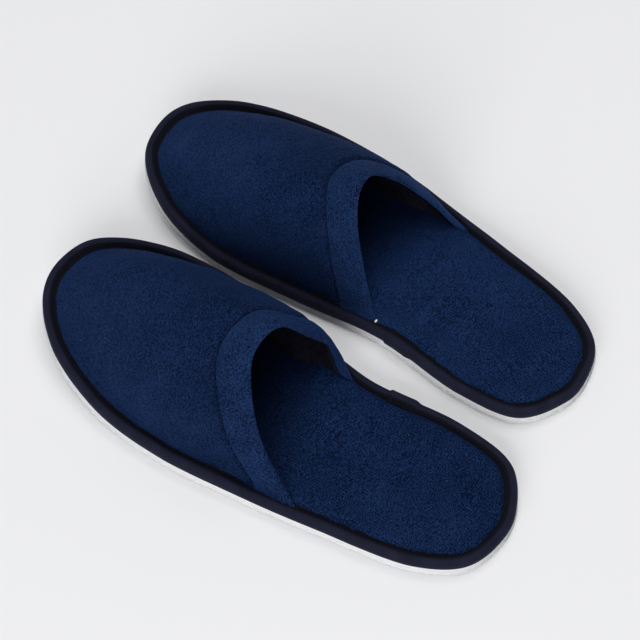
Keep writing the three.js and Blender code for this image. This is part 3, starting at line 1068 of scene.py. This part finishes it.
@dataclass
class Upper:
    """Fleece vamp, cuff band, interlining and lining."""

    bench: Workbench
    form: UpperForm
    vamp: bpy.types.Material
    cuff: bpy.types.Material
    lining: bpy.types.Material
    interlining: bpy.types.Material
    seed: float = 0.0
    fleece: float = 1.5
    seam_dip: float = 2.3
    flange: float = 0.93
    tucked: tuple = (2.4, 8.3)
    band_width: float = 20.0
    band: tuple = ((20, 2.6), (19.9, 1.6), (19.3, 0.7), (17.8, 0.0), (14, -0.7), (8, -0.95),
                   (3.5, -0.75), (1.2, -0.25), (0.1, 0.4), (0.3, 1.2), (1.4, 1.8), (3.0, 2.15),
                   (5.5, 2.35), (10.0, 2.4))
    band_tail: float = 0.02
    vamp_lumps: tuple = (Lumps(2.6, 0.11), Lumps(6.5, 0.10, 1), Lumps(38.0, 0.7, 2), Lumps(15.0, 0.25, 6))
    cuff_lumps: tuple = (Lumps(2.4, 0.12, 3), Lumps(6.0, 0.13, 4), Lumps(24.0, 0.45, 5))
    lining_lumps: Lumps = Lumps(14.0, 0.8, 8)
    lining_foot: float = 15.0

    def pucker(self, v: np.ndarray, away: np.ndarray) -> np.ndarray:
        """Small gathers across the cuff's seam, fading away from it.

        Args:
            v: columns, 0 to 1.
            away: distance from the seam.

        Returns:
            How far each point stands up.
        """
        run = v * self.form.seam_line.length
        wave = np.sin(TWO_PI * run / 6.5 + 3 * np.sin(TWO_PI * run / 31 + self.seed))
        return 0.10 * wave * np.exp(-np.abs(away) / 5.0)

    def build_vamp(self) -> None:
        """The fleece over the toes, from the cuff's seam to under the tape."""
        bm, v, share = lay_grid(300, 128)
        form, last = self.form, self.bench.last
        w = form.even_rows(v, np.clip(share / self.flange, 0, 1), 1.0, 2.0)
        points = form.skin(v, w, np.zeros_like(v))
        foot = form.share_at_foot(v)
        tuck = smooth(share, self.flange, 1.0)
        inset, height = self.tucked
        under = last.edge(foot, np.full_like(v, inset), height)
        points = points + (under - points) * tuck[:, None]
        away = np.linalg.norm(points - form.point(v, np.ones_like(v)), axis=1)
        edge = last.edge(foot, np.full_like(v, form.foot_inset), form.foot_height)
        near_foot = np.linalg.norm(points - edge, axis=1)
        n = form.normal(v, np.minimum(w, 1.96))
        lift = -self.seam_dip * np.exp(-(away / 1.5)**1.4) + self.pucker(v, away)
        free = smooth(near_foot, 0.5, 9) * (1 - tuck)
        lift += free * sum(lumps.at(points, self.seed) for lumps in self.vamp_lumps)
        shape(bm, points + n * lift[:, None], (0.38, 0.14))
        piece = self.bench.finish(bm, "upper_fleece", self.vamp, closed=False, thickness=self.fleece)
        self.bench.side.piece("edge_binding")

    def build_cuff(self) -> None:
        """The band round the opening, folded over its edge and turned in."""
        bm, v_long, s = lay_grid(270, 56)
        form, tail = self.form, self.band_tail
        v = np.clip((v_long - tail) / (1 - 2 * tail), 0, 1)
        beyond = np.abs(v_long - tail - v * (1 - 2 * tail)) / tail
        seam, opening = (form.point(v, np.full_like(v, row)) for row in (1, 0))
        out, depth = profile(self.band, s)
        w = out / self.band_width
        n = form.normal(v, np.clip(w, 0.05, 1.0))
        points = form.point(v, w)
        away = (1 - w) * np.linalg.norm(seam - opening, axis=1)
        lift = -depth + self.pucker(v, away) * smooth(s, 0, 0.05) * smooth(s, 0.75, 0.6)
        free = smooth(s, 0.0, 0.06) * smooth(s, 1.0, 0.9)
        lift += free * sum(lumps.at(points, self.seed) for lumps in self.cuff_lumps)
        points = points + n * lift[:, None]
        drop = np.stack([np.zeros_like(v), np.sign(0.5 - v) * 1.2, np.full_like(v, -1.6)], axis=1)
        points = points + drop * beyond[:, None]
        shape(bm, points, (0.19, 0.032))
        piece = self.bench.finish(bm, "cuff_band", self.cuff, closed=False, thickness=self.fleece)
        self.bench.side.piece("upper_interlining")

    def inner_sheet(self, kind: str, material: bpy.types.Material, first: float, depth: float,
                    thick: float, hung: bool) -> None:
        """A thin sheet under the fleece.

        Args:
            kind: the piece's name without its side.
            material: its finish.
            first: the row it starts at.
            depth: how far it lies under the outer skin.
            thick: its thickness.
            hung: True for the lining, which starts lower on the inner side and sags inwards.
        """
        bm, v, share = lay_grid(150, 70)
        form, last = self.form, self.bench.last
        w = form.even_rows(v, share, first, 1.94)
        if hung:
            w = w + 0.15 * smooth(v, 0.68, 0.86) * (1 - share)**2
        points = form.skin(v, w, np.full_like(v, depth))
        if hung:
            foot = form.share_at_foot(v)
            edge = last.edge(foot, np.full_like(v, form.foot_inset), 0.0)
            inward = last.edge(foot, np.full_like(v, self.lining_foot), 0.0) - edge
            inward[:, 2] = 0
            points += inward * smooth(share, 0.15, 0.95)[:, None]
            points[:, 2] += self.lining_lumps.at(points, self.seed) * np.sin(np.pi * (1 - share))
        points[:, 2] = np.maximum(points[:, 2], 11.0 + last.spring(points[:, 0]))
        points += np.random.default_rng(7).normal(0, 0.02, points.shape)
        shape(bm, points, (0.3, 0.15))
        piece = self.bench.finish(bm, kind, material, closed=False, thickness=thick)
        self.bench.side.piece("upper_fleece")

    def build_wisp(self, white: bpy.types.Material) -> None:
        """A wisp of white foam that peeks out where the cuff's inner end meets the tape.

        Args:
            white: its finish.
        """
        bm = bmesh.new()
        foot = Vector(self.form.point(np.array([0.985]), np.array([0.0]))[0])
        for drop, size in ((0.0, 0.65), (0.9, 0.55), (1.9, 0.42)):
            spot = Matrix.Translation(foot + Vector((-3.0 - 0.35 * drop, -2.6, 0.9 + drop)))
            bmesh.ops.create_icosphere(bm, subdivisions=3, radius=size, matrix=spot)
        self.bench.finish(bm, "foam_wisp", white, closed=True, slot="insole_foam")

    def build(self) -> None:
        """Makes the whole upper."""
        self.build_vamp()
        self.build_cuff()
        self.inner_sheet("upper_interlining", self.interlining, first=0.34, depth=2.6, thick=0.7,
                         hung=False)
        self.inner_sheet("upper_lining", self.lining, first=0.27, depth=3.2, thick=0.6,
                         hung=True)


# ---- the pair and the studio ---------------------------------------------------------------------


OPENING = ((-16.6, 32.2, 35.5), (-3.7, 21, 55.5), (2.7, 9.8, 68.2), (2.3, -1.5, 74.2),
           (-0.9, -12, 72.6), (-7, -20.8, 61.5), (-16.6, -28, 41.5), (-30.5, -35.5, 9.7))
SEAM = ((-18.5, 45.6, 10.6), (-0.4, 40, 34), (13.6, 27.7, 50.3), (22, 14, 60.5), (23, -0.5, 67),
        (18.6, -13.8, 70.2), (11.4, -25, 63), (2, -33.8, 43.9), (-8.5, -39.2, 10.6))


@dataclass
class Finishes:
    """Every finish, shared by both slippers; each is made once, save the white EVA, which is made for each
    sheet.
    """

    vamp: bpy.types.Material = field(default_factory=lambda: Fleece("vamp_fleece").make())
    cuff: bpy.types.Material = field(default_factory=lambda: Fleece(
        "cuff_fleece", deep=(0.0005, 0.0022, 0.0115, 1), light=(0.0130, 0.0352, 0.1130, 1),
        nap_depth=0.0009, sheen=0.16, fine=1.5, contrast=(0.16, 0.86), patchy=0.28).make())
    insole: bpy.types.Material = field(default_factory=lambda: Fleece(
        "insole_fleece", deep=(0.0007, 0.0028, 0.0130, 1), light=(0.0098, 0.0300, 0.1000, 1),
        lint_share=0.8, nap_depth=0.0008, ribbed=0.42, sheen=0.08, contrast=(0.20, 0.82), fine=1.6,
        inside_shade=True).make())
    tape: bpy.types.Material = field(default_factory=lambda: TapeCloth().make())
    eva: PressedFoam = field(default_factory=lambda: PressedFoam("white_eva"))
    foam: bpy.types.Material = field(default_factory=lambda: PressedFoam(
        "insole_foam", light=(0.76, 0.76, 0.72, 1), deep=(0.60, 0.60, 0.56, 1),
        roughness=0.85, pore_depth=0.0004).make())
    board: bpy.types.Material = field(default_factory=lambda: Cloth(
        "fibre_board", deep=(0.22, 0.16, 0.10, 1), light=(0.42, 0.33, 0.22, 1)).make())
    lining: bpy.types.Material = field(default_factory=lambda: Cloth(
        "knit_lining", deep=(0.0007, 0.0008, 0.0019, 1), light=(0.0064, 0.0060, 0.0118, 1),
        specular=0.03).make())
    interlining: bpy.types.Material = field(default_factory=lambda: Cloth(
        "wadding", deep=(0.0010, 0.0020, 0.0060, 1), light=(0.0030, 0.0055, 0.0150, 1)).make())
    thread: bpy.types.Material = field(default_factory=lambda: Cloth(
        "sewing_thread", deep=(0.002, 0.0022, 0.005, 1), light=(0.007, 0.0075, 0.014, 1),
        grain=2600.0, roughness=0.7).make())


@dataclass
class Slipper:
    """One slipper: its form and sub-assemblies."""

    side: Side
    finishes: Finishes
    seed: float
    lap_share: float
    slump: float
    hollow: float
    outer_foot: tuple

    def build(self) -> None:
        """Builds every piece of the slipper."""
        f, last = self.finishes, Last()
        bench = Workbench(self.side, last)
        Sole(bench, f.eva).build()
        Insole(bench, f.insole, f.board, f.foam).build()
        Binding(bench, f.tape, f.thread, lap_share=self.lap_share, seed=self.seed).build()
        opening = (self.outer_foot, *OPENING)
        form = UpperForm(last, opening, SEAM, slump=self.slump, hollow=self.hollow)
        upper = Upper(bench, form, f.vamp, f.cuff, f.lining, f.interlining, seed=self.seed)
        upper.build()
        if self.side is Side.RIGHT:
            upper.build_wisp(f.foam)


@dataclass
class Studio:
    """Pale floor, soft light and the camera."""

    eye: tuple = (-0.4411, -0.3052, 0.8703)
    target: tuple = (0.0074, 0.0053, 0.0)
    lens: float = 104.75
    floor_half: float = 4.0
    floor_drop: float = 0.0002
    lamps: tuple = (
        ("softbox", (0.30, 0.10, 2.2), 1.7, 21.5),
        ("key", (1.5, 0.1, 2.8), 1.6, 14.0),
        ("fill", (-2.2, -0.8, 1.1), 1.8, 46.0),
    )
    room_colour: tuple = (0.97, 0.98, 1.0, 1)
    room_light: float = 0.36

    def camera(self) -> None:
        """Adds the camera."""
        data = bpy.data.cameras.new("camera")
        data.lens, data.sensor_width = self.lens, 36.0
        camera = bpy.data.objects.new("camera", data)
        camera.location = self.eye
        look = Vector(self.target) - Vector(self.eye)
        camera.rotation_euler = look.to_track_quat("-Z", "Y").to_euler()
        bpy.context.scene.collection.objects.link(camera)
        bpy.context.scene.camera = camera

    def floor(self) -> None:
        """Adds the floor."""
        bm = bmesh.new()
        bmesh.ops.create_grid(bm, x_segments=1, y_segments=1, size=self.floor_half,
                              matrix=Matrix.Translation((0, 0, -self.floor_drop)))
        mesh = bpy.data.meshes.new("floor")
        bm.to_mesh(mesh)
        bm.free()
        d = Dresser("paper_floor")
        clouds = d.g.noise(d.vector, 3.0, 2.0, 0.5)
        d.feed("Base Color", d.g.mix(clouds, (0.752, 0.752, 0.762, 1), (0.768, 0.768, 0.782, 1)))
        d.set(Roughness=0.9, Specular_IOR_Level=0.1)
        mesh.materials.append(d.material)
        floor = bpy.data.objects.new("floor", mesh)
        bpy.context.scene.collection.objects.link(floor)

    def lamp(self, name: str, spot: tuple, size: float, power: float) -> None:
        """Adds a soft round lamp that looks at the slippers.

        Args:
            name: the lamp's name.
            spot: where it hangs.
            size: its width.
            power: its power in watts.
        """
        data = bpy.data.lights.new(name, "AREA")
        data.shape, data.size, data.energy = "DISK", size, power
        lamp = bpy.data.objects.new(name, data)
        lamp.location = spot
        lamp.rotation_euler = (-Vector(spot)).to_track_quat("-Z", "Y").to_euler()
        bpy.context.scene.collection.objects.link(lamp)

    def build(self) -> None:
        """Sets the whole studio."""
        self.camera()
        self.floor()
        for lamp in self.lamps:
            self.lamp(*lamp)
        world = bpy.data.worlds.new("room")
        world.use_nodes = True
        background = world.node_tree.nodes["Background"]
        background.inputs["Color"].default_value = self.room_colour
        background.inputs["Strength"].default_value = self.room_light
        bpy.context.scene.world = world
        bpy.context.scene.view_settings.view_transform = "Standard"


def write_sizes() -> None:
    """Updates the view layer."""
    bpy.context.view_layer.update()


def main() -> None:
    """Builds the studio and the pair."""
    logging.basicConfig(level=logging.INFO, format="%(name)s %(message)s")
    Studio().build()
    finishes = Finishes()
    Slipper(Side.LEFT, finishes, seed=1.0, lap_share=0.842, slump=5.4, hollow=4.2,
            outer_foot=(-44, 44.2, 9.6)).build()
    Slipper(Side.RIGHT, finishes, seed=2.0, lap_share=0.829, slump=0.0, hollow=0.0,
            outer_foot=(-37.5, 43.2, 9.8)).build()
    write_sizes()


if __name__ == "__main__":
    main()
